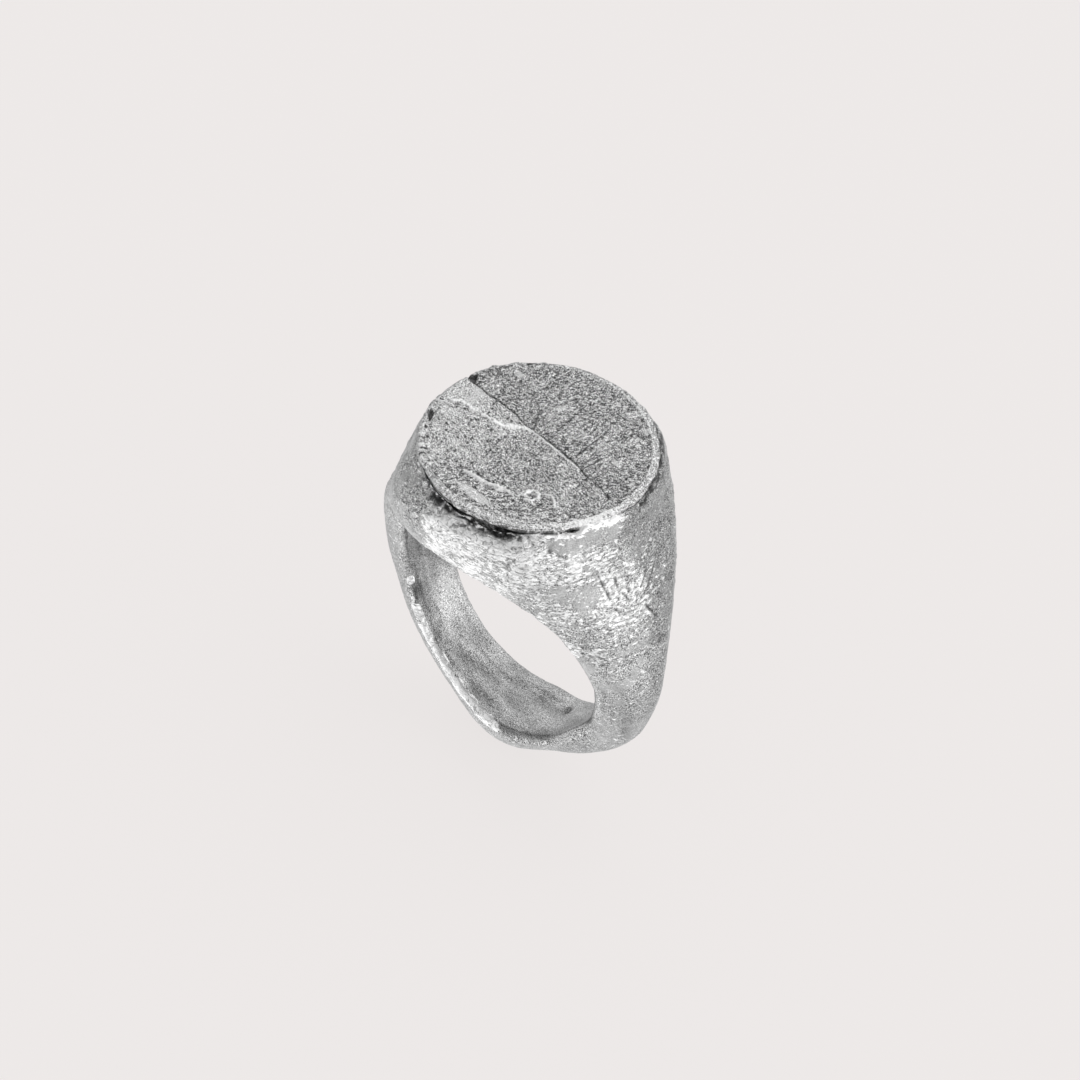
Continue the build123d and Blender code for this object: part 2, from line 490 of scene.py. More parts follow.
def mark_bore(skin):
    """Inside the hole: a broken parting ridge, long soft waves, and pale and dark patches."""
    turn, y = skin.turn, skin.y
    streaks = fractal(np.stack([np.radians(turn) * BORE_R * 0.3, y, skin.radius], 1), 0.8, 3, 91)
    low = smooth(angle_from(turn, 225), -8, 4) * smooth(angle_from(turn, 292), 6, -4)
    parting = bell(y - 0.72 - 0.1 * noise(skin.p, 2.0, 93), 0.1) * low
    parting *= smooth(noise(skin.p, 1.8, 94), -0.1, 0.25)
    skin.height += skin.bore * (0.06 * streaks + 0.05 * parting)

    pale = sector(turn, 219, 13) * smooth(y, -1.2, 0.6)
    near_back = smooth(angle_from(turn, 272), -4, 6) * smooth(angle_from(turn, 310), 6, -6)
    # Darker patches inside the hole, and a dark line of painted shade where its wall meets the near lip
    # at the bottom.
    dark = spots(skin.p, BORE_DARK) + 0.8 * bell(y + 1.95, 0.28) * near_back
    skin.bore_tone = 0.45 + 0.13 * streaks + 0.2 * parting + 0.2 * pale - 0.22 * np.clip(dark, 0, 1)
    # Painted shade on the hole's wall round its left side.
    skin.bore_tone -= (0.28 - 0.22 * smooth(y, -1.2, -1.9)) * sector(turn, 175, 38)
    skin.bore_tone -= 0.08 * sector(turn, 275, 22)


def bead_rim(skin):
    """The near edge of the hole is lumpy and white on the left."""
    turn = skin.turn
    beads = bell(skin.radius - BORE_R - 0.25, 0.36) * smooth(-skin.normal[:, 1], 0.1, 0.4)
    beads *= smooth(angle_from(turn, 201), -3, 3) * smooth(angle_from(turn, 288), 9, -16)
    beads *= 0.6 + 0.4 * smooth(angle_from(turn, 213), -5, 5)
    beads = np.maximum(beads, spots(skin.p, FIRST_BEAD))
    skin.height += beads * (0.09 + 0.1 * noise(skin.p, 0.8, 95) + 0.04 * noise(skin.p, 0.4, 96))
    skin.beaded = smooth(beads + 0.34 * noise(skin.p, 0.6, 97), 0.48, 0.74)
    # The beads are painted white: painted highlights on the lumps.
    skin.frost = np.maximum(skin.frost, 1.3 * skin.beaded)


def fold_shoulder(skin):
    """A soft edge down the shoulder's middle, and the folds beside it."""
    off, along = from_line(skin.p, SHOULDER_EDGE)
    soft_edge = bell(length(off), 1.3) * smooth(along, 1.0, 0.8)
    skin.height += 0.22 * soft_edge * skin.shoulder
    broken = skin.shoulder * smooth(noise(skin.p, 0.9, 63), -0.5, -0.1)
    folds = crests = 0 * skin.x
    for line in FOLDS:
        off, along = from_line(0.85 * skin.p + 0.15 * skin.wander, line)
        distance = over_surface(off, skin.normal)
        strength = broken * smooth(along, -0.1, 0.25) * smooth(along, 1.05, 0.8)
        skin.height += strength * (0.04 * bell(distance - 0.17, 0.08) - 0.06 * bell(distance, 0.06))
        folds = np.maximum(folds, strength * bell(distance, 0.06))
        crests = np.maximum(crests, strength * bell(distance - 0.2, 0.09))
    # Painted shade in the folds, and painted highlights on the crests beside them.
    skin.hollow += 0.85 * folds
    skin.frost += 0.4 * crests


def open_crevice(skin):
    """The seat's edge under the plate: eaten away at the near side and painted dark there as shade, with
    a white lip to the right of that, painted as highlight, and a painted shadow of the plate on the far
    right."""
    phi, z, rim = skin.phi, skin.z, skin.rim
    edge = smooth(z, SEAT_Z - 1.1, SEAT_Z - 0.1) * smooth(rim, FACE_R - 1.8, FACE_R - 0.6)
    gap = smooth(phi, -126, -112) * smooth(phi, -24, -30)
    wide = smooth(phi, -45, -56)
    near, share = scatter(skin.p * [1, 1, 1.3], 0.75, 71)
    holes = smooth(near, 0.62, 0.2) * smooth(share, 0.2, 0.5)
    shreds = fractal(skin.p * [0.75, 0.75, 1.5], 0.34, 2, 73)
    known = spots(skin.p, TORN)
    eaten = gap * (0.06 + wide * (0.07 + 0.2 * holes) + 0.45 * known - 0.06 * shreds)
    eaten += 0.03 * smooth(phi, -8, 2) * smooth(phi, 62, 48)
    skin.height -= edge * eaten

    torn = gap * smooth(z, SEAT_Z - 0.6 * wide - 0.2, SEAT_Z - 0.3 * wide - 0.02)
    deep = np.clip(1.4 * known, 0, 1) * gap * edge
    # Painted shade in the crevice, and painted highlights on the shreds at its edge.
    skin.hollow += 0.55 * torn * smooth(shreds, 0.1, -0.2) + 0.9 * deep * smooth(shreds, 0.35, 0.1)
    skin.frost += 0.9 * torn * smooth(shreds, 0.1, 0.3)
    # A painted highlight along the lip to the right of the crevice.
    bright_lip = smooth(z, SEAT_Z - 0.45, SEAT_Z - 0.15) * smooth(rim, FACE_R - 0.3, FACE_R)
    skin.frost += bright_lip * smooth(phi, -75, -60) * smooth(phi, 2, -6) * (1 - 0.8 * torn)
    # A painted shadow of the plate on the lip at the far right.
    plate_shadow = smooth(rim, FACE_R + 0.5, FACE_R + 0.1) * smooth(z, SEAT_Z - 0.6, SEAT_Z - 0.2)
    plate_shadow *= smooth(phi, 4, 14) * smooth(phi, 75, 55) * smooth(shreds, -0.4, 0.3)
    skin.hollow += 0.85 * plate_shadow


def raise_lip(skin):
    """The seat's lip: almost level with the plate away from the crevice, and closed against
    the plate's side there. It grows into a ledge on the far right."""
    phi, z, rim = skin.phi, skin.z, skin.rim
    closed = smooth(np.abs(angle_from(phi, -84)), 40, 50)
    lip = smooth(rim, FACE_R - 0.12 - 0.2 * closed, FACE_R + 0.06 - 0.12 * closed)
    lip *= smooth(z, SEAT_Z - 0.9, SEAT_Z - 0.1)
    far_arc = 0.36 * smooth(np.abs(angle_from(phi, 90)), 100, 88)
    left_arc = 0.5 * smooth(np.abs(angle_from(phi, -148)), 32, 22)
    lift = 0.1 + np.maximum(far_arc, left_arc) + 0.3 * sector(phi, -44, 17)
    lift += 0.5 * smooth(phi, -30, -22) * smooth(phi, 0, -8)
    lift *= 1 + 0.25 * noise(skin.p, 0.6, 74)
    skin.move[:, 2] += lift * lip
    ledge = 0.35 * sector(phi, 22, 34) + 0.14 * smooth(np.abs(angle_from(phi, 110)), 70, 50)
    ledge *= smooth(z, SEAT_Z - 1.6, SEAT_Z - 0.4) * smooth(rim, FACE_R - 0.5, FACE_R)
    skin.move[:, :2] += (ledge / np.maximum(rim, 1))[:, None] * skin.p[:, :2]


def skin_fields(skin):
    bare = 1 - skin.bore
    shank_front = smooth(skin.z, 2.0, -2.0) * skin.near_side
    shank_front *= smooth(skin.radius, BORE_R + 0.6, BORE_R + 1.0)
    worn = np.maximum(skin.worn, 0.55 * shank_front)
    # Painted shade: darker on the shoulder's far side, which also gets a little hollow, and on the
    # shank's near face.
    tone = 0.48 + 0.05 * fractal(skin.p, 0.9, 3, 98) - 0.09 * skin.beyond
    tone -= 0.07 * worn * skin.keen + 0.1 * shank_front
    return {
        "tone": np.clip(tone * bare + skin.bore_tone * skin.bore, 0.1, 0.9),
        "frost": np.clip(skin.frost - 0.35 * skin.bore * (1 - skin.beaded), -0.4, 1.2),
        "hollow": np.clip(skin.hollow + 0.06 * skin.beyond, 0, 1),
        "gloss": np.clip(worn * bare + 0.55 * skin.bore, 0, 1),
    }


def body_surface(points, normals):
    """Moves of the points of the clean solid, and the material's values there."""
    skin = CastSkin(points, normals)
    frost_and_wear(skin)
    wrinkle(skin)
    pinch_shoulder(skin)
    dig_pits(skin)
    mark_bore(skin)
    bead_rim(skin)
    # These come last, and add painted highlights on crests and lips to what is white by now.
    fold_shoulder(skin)
    open_crevice(skin)
    raise_lip(skin)
    return skin.height[:, None] * normals + skin.move, skin_fields(skin)


def needs_detail(middle, facing):
    """Faces to refine: the head's front, the near shoulder, and the hole's near edge on the left."""
    off_axis = np.hypot(middle[:, 0], middle[:, 2])
    under_plate = (np.hypot(middle[:, 0], middle[:, 1]) < FACE_R - 0.8) & (middle[:, 2] > SEAT_Z - 0.5)
    front = (facing @ NEAR_SIDE > 0.2) & (middle[:, 2] > 2.8) & (off_axis > BORE_R + 0.3) & ~under_plate
    hole_edge = (middle[:, 1] < -1.5) & (off_axis < BORE_R + 0.75) & (middle[:, 2] < -0.5)
    hole_edge &= middle[:, 0] < 4
    return front | hole_edge


def build_ring_body():
    points, quads = dense_copy("ring_body", BODY_VOXEL)
    points = relax(points, quads, RELAX_ROUNDS)
    normals = normals_of(points, quads)
    chosen = needs_detail(points[quads].mean(1), normals[quads].mean(1))
    points, normals, faces = refine(points, normals, quads, chosen)
    move, fields = body_surface(points, normals)
    return make_mesh("ring_body_cast", hand_shape(points) + move, faces, fields)


# ---- face_plate ----
PLATE_GRID = 296  # faces across the plate's top
WALL_ROWS = 8  # rings of points down its side
# Lines of the leaf on the plate, in mm from its middle.
MIDRIB = [(-7.0, 0.9), (-3.3, 0.88), (-2.6, 0.78), (-1.5, 0.55), (0, 0.58), (1.5, 0.6)]
MIDRIB += [(2.6, 0.42), (4, 0.15), (5.2, 0.03), (6.2, -0.3)]
MIDRIB_CREST = [(-1.1, 0.4), (-0.6, 0.42), (0.4, 0.4), (1.4, 0.34), (2.2, 0.22), (3.3, 0.12)]
STALK_START = [(-7.1, -2.0), (-6.6, -1.65), (-6.0, -1.5)]
STALK = [(-6.25, -1.2), (-5.9, -0.82), (-5.4, -0.75), (-5, -0.83), (-4, -0.7), (-3, -0.6), (-2.6, -0.55)]
STALK += [(-2.2, -0.25), (-1.9, 0.05), (-1.5, 0.33), (-1.0, 0.42)]
MARGIN = [(-7, -6.4), (-3.4, -5.8), (-1.2, -4.95), (-0.5, -4.8), (0.2, -4.78), (0.7, -4.6)]
MARGIN += [(1, -4.4), (1.5, -4.35), (2.1, -4.3), (2.4, -3.6), (2.7, -3.15), (3.2, -2.9)]
MARGIN += [(3.7, -2.65), (4.3, -2.9), (5.4, -2.5), (7, -1.4)]
LOOPS = [
    [(2.5, -3.9), (2.45, -3.4), (2.7, -3.1), (3.1, -3.1), (3.25, -3.5), (3.1, -3.9), (2.8, -4.05)],
    [(3.3, -2.9), (3.7, -2.65), (4.1, -2.85), (4.4, -3.2)],
    [(0.7, -4.5), (1.0, -4.35), (1.3, -4.5), (1.0, -4.7)],
]
FLAKES = [  # middle, half extents along x and y: smooth light patches
    ((0.4, -6.0), (1.4, 0.36)),
    ((-1.3, 3.3), (0.2, 0.42)),
    ((3.7, 5.6), (0.28, 0.25)),
    ((4.4, 2.2), (0.4, 0.2)),
    ((-5.2, 3.5), (0.4, 0.25)),
]
SPOTS = [((-1.3, 4.5), 0.14), ((-5.5, 4.5), 0.13), ((1.0, -1.0), 0.1)]
VEINS = [
    [(-1.2, 0.75), (-1.7, 1.5), (-2.2, 2.2), (-2.8, 2.9)],
    [(0.1, 0.65), (-0.1, 1.8), (-0.3, 3.0), (-0.7, 4.2)],
    [(2.1, 0.5), (2.15, 2.2), (2.0, 3.9), (1.8, 5.4)],
    [(3.3, 0.4), (3.35, 1.3), (3.3, 2.2)],
    [(-1.95, -0.6), (-1.8, -2.0), (-1.5, -3.0), (-1.3, -3.9)],
    [(0.5, -0.1), (0.6, -1.2), (0.5, -2.1)],
    [(4.0, 0.0), (4.15, -1.2), (4.2, -1.9)],
]
NOTCHES = [  # corners of the dark three-sided places at the rim
    [(-7.4, 0.98), (-6.5, 0.98), (-6.95, 1.65)],
    [(-7.0, -2.7), (-6.3, -2.75), (-5.9, -3.55)],
]


def drawn_out(flat, angle, factor):
    """Places turned by an angle in degrees and drawn out along it, as 3-D points."""
    c, s = math.cos(math.radians(angle)), math.sin(math.radians(angle))
    along = (flat[:, 0] * c + flat[:, 1] * s) / factor
    across = flat[:, 1] * c - flat[:, 0] * s
    return np.stack([along, across, np.zeros(len(flat))], 1)


def inside_triangle(flat, corners):
    """Distance inside a triangle's sides, negative outside."""
    middle = np.mean(corners, axis=0)
    inside = np.full(len(flat), 1e9)
    for a, b in zip(np.array(corners), np.roll(corners, -1, axis=0)):
        across = np.array([a[1] - b[1], b[0] - a[0]]) / np.linalg.norm(b - a)
        across *= np.sign((middle - a) @ across)
        inside = np.minimum(inside, (flat - a) @ across)
    return inside


class LeafRelief:
    """Height over the plate's top and its material's values there. The functions below build
    them up."""

    def __init__(self, x, y):
        p = np.stack([x, y, np.zeros_like(x)], 1)
        self.p, self.flat, self.x, self.y = p, p[:, :2], x, y
        self.radius = np.hypot(x, y)
        self.phi = np.degrees(np.arctan2(y, x))
        self.shift = np.stack([noise(p, 0.8, 101), noise(p, 0.8, 102)], 1)
        self.fine_shift = np.stack([noise(p, 0.3, 103), noise(p, 0.3, 104)], 1)
        self.grain = noise(p, 0.12, 119)
        self.calm = smooth(fractal(p, 1.6, 2, 121), 0.2, 0.5)
        # Regions: above the midrib, beyond the leaf's edge, between the two, and the clear
        # wedge between midrib and stalk.
        self.bent = self.flat + 0.06 * self.shift + 0.02 * self.fine_shift
        bent_x, bent_y = self.bent.T
        self.stalk_y = np.interp(bent_x, *np.array(STALK).T)
        self.margin_y = np.interp(bent_x, *np.array(MARGIN).T)
        self.upper = smooth(bent_y - np.interp(bent_x, *np.array(MIDRIB).T), -0.04, 0.04)
        self.outside = smooth(self.margin_y - bent_y, -0.05, 0.05)
        self.lower = (1 - self.upper) * (1 - self.outside)
        wedge = self.lower * smooth(bent_y - self.stalk_y, -0.05, 0.05) * smooth(-x, 1.3, 1.8)
        self.clear = wedge * smooth(-x, 4.6, 5.6)


def cells(leaf, angle, factor, size, seed, bend=0.04):
    """Cells drawn out along an angle: light plateaus broken by thin dark lines."""
    n = noise(drawn_out(leaf.flat + bend * leaf.fine_shift, angle, factor), size, seed)
    return 0.6 * np.tanh(2.2 * n) - 0.8 * bell(n + 0.28, 0.16)


def patch(leaf, middle, half):
    """1 in the middle of an oval above the midrib, falling to 0 around it."""
    return bell(length((leaf.flat - middle) / half), 1.0) * leaf.upper


def low_texture(leaf):
    """A fine weave below the midrib, with dots towards the left."""
    near, share = scatter(drawn_out(leaf.flat + 0.05 * leaf.shift, -30, 1.3), 0.27, 111)
    dots = smooth(near, 0.42, 0.2) * smooth(share, 0.1, 0.5)
    left = smooth(-leaf.x, 0.0, 3.0)
    weave = 0.6 * cells(leaf, -6, 2.8, 0.125, 112) + 0.5 * cells(leaf, 84, 2.6, 0.14, 113)
    return (1 - 0.6 * left) * weave + (0.3 - 1.3 * dots) * (0.35 + 0.65 * left)


def high_texture(leaf):
    """Worm-like cells above the midrib, with a fan and a comb of longer ones."""
    worms = 0.75 * cells(leaf, 42, 2.4, 0.135, 114) + 0.45 * cells(leaf, 88, 3.0, 0.13, 115)
    in_fan = patch(leaf, [-2.0, 1.6], [1.1, 1.0])
    in_comb = patch(leaf, [3.2, 1.5], [1.4, 1.1])
    texture = worms * (1 - 0.8 * np.maximum(in_fan, in_comb))
    texture += 0.8 * in_fan * cells(leaf, 116, 5.0, 0.15, 116, 0.01)
    return texture + 0.8 * in_comb * cells(leaf, 88, 6.0, 0.15, 117, 0.01)


def add_textures(leaf):
    """The leaf's two textures, and wrinkles beyond its edge."""
    wrinkles = cells(leaf, 38, 2.4, 0.17, 118, 0.1)
    texture = leaf.upper * high_texture(leaf) + leaf.lower * low_texture(leaf)
    texture += leaf.outside * (wrinkles + 0.12) + 0.2 * leaf.grain
    texture *= (1 - 0.65 * leaf.clear) * (1 - 0.35 * leaf.calm)
    leaf.height = 0.055 * texture + 0.03 * fractal(leaf.p, 1.6, 2, 122)
    leaf.height -= 0.05 * leaf.outside + 0.02 * leaf.upper
    leaf.tone = 0.5 + 0.32 * texture + 0.05 * leaf.clear + 0.05 * fractal(leaf.p, 1.3, 2, 123)
    leaf.tone -= 0.035 * leaf.upper * smooth(2.6 - leaf.y, 0, 1.5)
    leaf.hollow = np.clip(-0.75 * texture - 0.38, 0, 0.5)
    leaf.frost = 0.1 + 0.1 * leaf.calm + 0.3 * texture


def vein_strength(leaf):
    veins = 0 * leaf.x
    for line in VEINS:
        off, along = from_line(leaf.bent, line)
        distance = length(off)
        veins = np.maximum(veins, bell(distance, 0.05) * smooth(along, 1.05, 0.6))
    return veins


def add_lines(leaf):
    """Grooves of the midrib and veins, and the raised stalk and rough leaf margin."""
    x, y = leaf.x, leaf.y
    stalk = line_distance(leaf.bent, STALK)
    margin = line_distance(leaf.bent, MARGIN)
    rib = bell(line_distance(leaf.bent, MIDRIB), 0.055)
    veins = vein_strength(leaf)
    ribbon = bell(stalk, 0.18) * (0.75 + 0.35 * noise(leaf.p, 0.9, 124))
    ribbon = np.maximum(ribbon, bell(line_distance(leaf.bent, STALK_START), 0.1))
    ribbon = np.maximum(ribbon, 0.9 * bell(line_distance(leaf.bent, MIDRIB_CREST), 0.1))
    rough_edge = bell(margin, 0.12) * smooth(x, -1.8, -1.1) * smooth(-x, -2.4, -1.8)
    for loop in LOOPS:
        rough_edge = np.maximum(rough_edge, bell(line_distance(leaf.bent, loop), 0.09))
    shade = bell(stalk - 0.26, 0.09) * smooth(leaf.stalk_y - y, 0.0, 0.1) * smooth(-x, 2.0, 2.6)
    beside = bell(margin - 0.25, 0.16) * smooth(y - leaf.margin_y, 0, 0.1)
    shade += 0.8 * beside * smooth(x, -3.0, -1.0) * smooth(-x, -2.6, -1.8)
    leaf.height += 0.11 * ribbon + 0.12 * rough_edge - 0.12 * rib - 0.04 * shade - 0.045 * veins
    # The grooves of the midrib and veins, and the strips below the stalk and beside the margin, are
    # painted darker as shade.
    leaf.tone += 0.4 * ribbon + 0.46 * rough_edge - 0.32 * rib - 0.3 * veins - 0.16 * shade
    leaf.hollow *= 1 - 0.9 * np.clip(ribbon + rough_edge, 0, 1)
    leaf.hollow += 0.45 * rib + 0.3 * veins
    leaf.frost += 0.5 * ribbon + 0.95 * rough_edge
    leaf.gloss = 0.3 * leaf.clear + 0.8 * ribbon + 0.7 * rough_edge


def add_flakes(leaf):
    """Smooth light patches, and small dark spots."""
    plain = 0 * leaf.x
    for middle, half in FLAKES:
        away = length((leaf.bent - middle) / half)
        flake = smooth(away + 0.35 * noise(leaf.p, 0.4, 125), 1.15, 0.85)
        leaf.height = leaf.height * (1 - 0.8 * flake) + 0.02 * flake + 0.03 * bell(away - 1, 0.15)
        leaf.tone = leaf.tone * (1 - flake) + 0.55 * flake
        leaf.hollow *= 1 - flake
        plain = np.maximum(plain, flake)
    leaf.gloss += 0.8 * plain
    for middle, size in SPOTS:
        spot = bell(length(leaf.flat - middle), size)
        leaf.height -= 0.07 * spot
        leaf.hollow += 0.7 * spot


def add_border(leaf):
    """Plain border: wide at the right and the front, and almost none at the left."""
    p, phi, radius = leaf.p, leaf.phi, leaf.radius
    width = 0.12 + 0.42 * sector(phi, -62, 52) + 0.26 * sector(phi, 60, 70)
    width += 0.07 * noise(p, 1.1, 126) + 0.03 * noise(p, 0.4, 127)
    border = smooth(radius, FACE_R - width - 0.1, FACE_R - width + 0.02)
    plain_tone = 0.53 + 0.06 * noise(p, 0.8, 128) + 0.1 * leaf.grain
    # The rim is darker at the far left.
    dark_far_rim = sector(phi, 135, 60) * smooth(radius, FACE_R - 0.3, FACE_R - 0.12)
    crest = bell(radius - FACE_R + 0.36 + 0.06 * noise(p, 0.9, 137), 0.07)
    crest *= sector(phi, 75, 75)
    leaf.height = leaf.height * (1 - 0.6 * border) + 0.02 * border + 0.04 * crest
    leaf.height += 0.05 * bell(radius - FACE_R + width, 0.08)
    leaf.tone = leaf.tone * (1 - 0.7 * border) + 0.7 * border * plain_tone
    leaf.tone += 0.3 * crest - 0.22 * dark_far_rim
    leaf.hollow += 0.25 * bell(radius - FACE_R + width + 0.14, 0.05)
    leaf.hollow *= (1 - 0.6 * border) * (1 - 0.8 * crest)
    bright = 0.25 + 0.25 * noise(p, 0.5, 136) + 0.7 * sector(phi, -22, 16)
    leaf.frost = leaf.frost * (1 - border) + bright * border
    leaf.gloss += 0.4 * border + 0.4 * leaf.calm * (1 - border)


def chew_rim(leaf):
    """A ragged stretch of the rim at the front left, and the dark three-sided notches."""
    ragged = sector(leaf.phi, -128, 16) * smooth(leaf.radius, FACE_R - 0.9, FACE_R - 0.3)
    chewed = noise(leaf.p, 0.35, 129)
    leaf.height += 0.07 * ragged * chewed
    # Painted shade in the chewed dips, and painted highlights on the bits between.
    leaf.hollow += 0.9 * ragged * smooth(-chewed, 0.15, 0.5)
    leaf.frost += 0.8 * ragged * smooth(chewed, 0.1, 0.5)
    for corners in NOTCHES:
        inside = inside_triangle(leaf.flat, corners)
        notch = smooth(inside + 0.03 * noise(leaf.p, 0.25, 130), -0.04, 0.06)
        leaf.height -= 0.3 * notch
        # The notches are painted dark, as painted shade.
        leaf.hollow = np.maximum(leaf.hollow, 0.85 * notch)
        leaf.frost *= 1 - notch


def leaf_fields(leaf):
    return {
        "tone": np.clip(leaf.tone, 0.1, 0.95),
        "frost": np.clip(leaf.frost, 0, 1.2),
        "hollow": np.clip(leaf.hollow, 0, 1),
        "gloss": np.clip(leaf.gloss, 0, 1),
    }


def leaf_surface(x, y):
    """Height over the plate's top, and the material's values, at places on the top."""
    leaf = LeafRelief(x, y)
    add_textures(leaf)
    add_lines(leaf)
    add_flakes(leaf)
    add_border(leaf)
    chew_rim(leaf)
    return leaf.height, leaf_fields(leaf)


def disc_grid(count):
    """Points of a square grid mapped onto a disc of radius 1."""
    a, b = np.meshgrid(np.linspace(-1, 1, count + 1), np.linspace(-1, 1, count + 1), indexing="ij")
    wide = np.abs(a) > np.abs(b)
    r = np.where(wide, a, b)
    ratio = np.where(wide, b, a) / np.where(np.abs(r) < 1e-9, 1, r)
    turn = np.where(wide, math.pi / 4 * ratio, math.pi / 2 - math.pi / 4 * ratio)
    return np.stack([r * np.cos(turn), r * np.sin(turn)], -1).reshape(-1, 2)


def plate_wall(start, phi):
    """Rings of points down the plate's side from its edge, which is undercut at the near side,
    and the material's values on them."""
    out = np.column_stack([np.cos(phi), np.sin(phi)])
    degrees = np.degrees(phi)
    gap = smooth(degrees, -126, -112) * smooth(degrees, -22, -30)
    undercut = 0.12 * gap
    rings, shares = [], []
    for row in range(1, WALL_ROWS + 1):
        t = row / WALL_ROWS
        z = start[:, 2] * (1 - t) + plate_low[2] * t
        arch = math.sin(math.pi * t)
        ring = np.column_stack([start[:, :2] + (0.05 * arch - undercut * t**0.7)[:, None] * out, z])
        rough = 0.05 * noise(ring * [1, 1, 1.8], 0.7, 133) + 0.03 * noise(ring, 0.25, 134)
        ring[:, :2] += (rough * arch)[:, None] * out
        rings.append(ring)
        shares.append(np.full(len(phi), t))
    points = np.vstack(rings)
    under = np.concatenate(shares)
    cut = np.tile(gap, WALL_ROWS)
    slit_noise = noise(points * [1, 1, 1.4], 0.4, 135)
    # Painted shade: the undercut side and the lowest rows of the whole side are darker; noise breaks up
    # the undercut's shade and puts white bits in it.
    hollow = 0.75 * cut * smooth(under, 0.1, 0.3) * smooth(slit_noise, 0.3, 0.0)
    fields = {
        "tone": 0.5 - 0.1 * cut,
        "frost": 0.2 + 0.6 * cut * smooth(slit_noise, 0.2, 0.45),
        "hollow": np.clip(hollow + 0.5 * smooth(under, 0.75, 1.0), 0, 1),
        "gloss": 0.5 * (1 - cut),
    }
    return points, fields


def build_face_plate():
    """A disc grid for the relief, closed by a side wall and a flat underside."""
    flat = disc_grid(PLATE_GRID)
    phi = np.arctan2(flat[:, 1], flat[:, 0])
    unit = np.hypot(flat[:, 0], flat[:, 1])
    around = np.stack([np.cos(phi), np.sin(phi), 0 * phi], 1)
    edge_r = FACE_R + 0.04 + 0.09 * noise(around * 3.2, 1.0, 131) + 0.05 * noise(around * 13, 1.0, 132)
    top = flat * edge_r[:, None]
    height, fields = leaf_surface(top[:, 0], top[:, 1])
    round_off = 0.07 * smooth(unit, 0.975, 1.0) ** 2
    top_points = np.column_stack([top, FACE_Z + height - round_off])

    index = np.arange((PLATE_GRID + 1) ** 2).reshape(PLATE_GRID + 1, PLATE_GRID + 1)
    faces = np.stack([index[:-1, :-1], index[1:, :-1], index[1:, 1:], index[:-1, 1:]], -1)
    faces = faces.reshape(-1, 4).tolist()
    edge = np.concatenate([index[:-1, 0], index[-1, :-1], index[:0:-1, -1], index[0, :0:-1]])
    wall, wall_fields = plate_wall(top_points[edge], phi[edge])
    wall_loops = len(top_points) + np.arange(len(wall)).reshape(WALL_ROWS, -1)
    loops = [edge, *wall_loops]
    for above, below in zip(loops, loops[1:]):
        faces += np.stack([above, below, np.roll(below, -1), np.roll(above, -1)], 1).tolist()
    faces.append(loops[-1][::-1].tolist())
    fields = {name: np.concatenate([values, wall_fields[name]]) for name, values in fields.items()}
    return make_mesh("leaf_face_plate", np.vstack([top_points, wall]), faces, fields)

# ---- solder_seam ----
SEAM_COLUMNS = 720
SEAM_ROWS = 12  # steps round its bulging edge
SEAM_CAPS = 6  # steps from the middle to the edge, on top and below
SEAM_LOOK = {"tone": 0.22, "frost": 0.0, "hollow": 0.5, "gloss": 0.1}


def build_solder_seam():
    """A ragged, beaded disc of solder that fills the joint and stops short of its edge."""
    turn = np.linspace(0, 2 * math.pi, SEAM_COLUMNS, endpoint=False)
    around = np.stack([np.cos(turn), np.sin(turn)], 1)
    radius = (seam_high[0] - seam_low[0]) / 2
    middle = (seam_low[2] + seam_high[2]) / 2
    half = (seam_high[2] - seam_low[2]) / 2
    # share of the radius, and level from 1 at the top to -1 at the underside
    profile = [(k / SEAM_CAPS, 1.0) for k in range(1, SEAM_CAPS)]
    profile += [(1.0, math.cos(math.pi * k / SEAM_ROWS)) for k in range(SEAM_ROWS + 1)]
    profile += [(k / SEAM_CAPS, -1.0) for k in range(SEAM_CAPS - 1, 0, -1)]
    rings = []
    for share, level in profile:
        bulge = 0.14 * math.sqrt(max(0, 1 - level * level))
        place = np.column_stack([around * radius, np.full(SEAM_COLUMNS, level * 0.6)])
        ragged = 0.16 * noise(place, 1.3, 141) + 0.1 * noise(place, 0.45, 142)
        ragged += 0.04 * noise(place, 0.2, 143)
        r = share * (radius + share * (ragged + bulge))
        z = np.full(SEAM_COLUMNS, middle + half * level)
        rings.append(np.column_stack([around * r[:, None], z]))
    points = np.vstack(rings)
    loops = np.arange(len(points)).reshape(-1, SEAM_COLUMNS)
    faces = [loops[0].tolist(), loops[-1][::-1].tolist()]
    for above, below in zip(loops, loops[1:]):
        faces += np.stack([above, below, np.roll(below, -1), np.roll(above, -1)], 1).tolist()
    fields = {name: np.full(len(points), value) for name, value in SEAM_LOOK.items()}
    return make_mesh("solder_fill", points, faces, fields)


# ---- materials ----
SPECK_SIZE = 0.1  # in mm, like the other sizes of grain
DUST_SIZE = 0.06
FLECK_CONTRAST = 22.0  # how crisp the edges of the white flecks are
SPECK_CONTRAST = 11.0
CREASE_CONTRAST = 52.0
WHITE_LEVEL = 0.98
BLACK_LEVEL = 0.06


